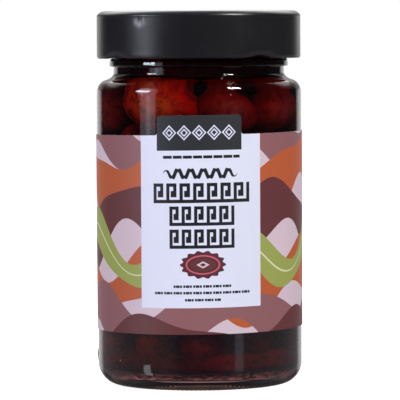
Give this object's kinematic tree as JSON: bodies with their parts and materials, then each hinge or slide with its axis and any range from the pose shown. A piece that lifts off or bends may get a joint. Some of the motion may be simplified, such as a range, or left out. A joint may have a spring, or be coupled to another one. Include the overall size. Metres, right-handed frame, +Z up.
{
  "type": "jar of olives",
  "caption": "Shut cylindrical glass jar of dark olives in brine, with a black metal twist-off lid and a printed paper wrap label with a tab.",
  "frame": {"origin": "centre of the jar's axis on the surface it stands on", "axes": "+Z up along the jar's axis; the label's front panel faces -Y"},
  "size_m": [0.0716, 0.0713, 0.1292],
  "materials": {
    "glass": "clear flint glass, smooth and glossy",
    "lid": "black satin lacquer on tinplate",
    "label": "printed coated paper, soft sheen",
    "olives": "dark red-brown olive skin in brine, smooth and wet"
  },
  "bodies": {
    "root": {"glass_jar": "glass", "lid": "lid", "label": "label", "olives": "olives"}
  },
  "joints": []
}
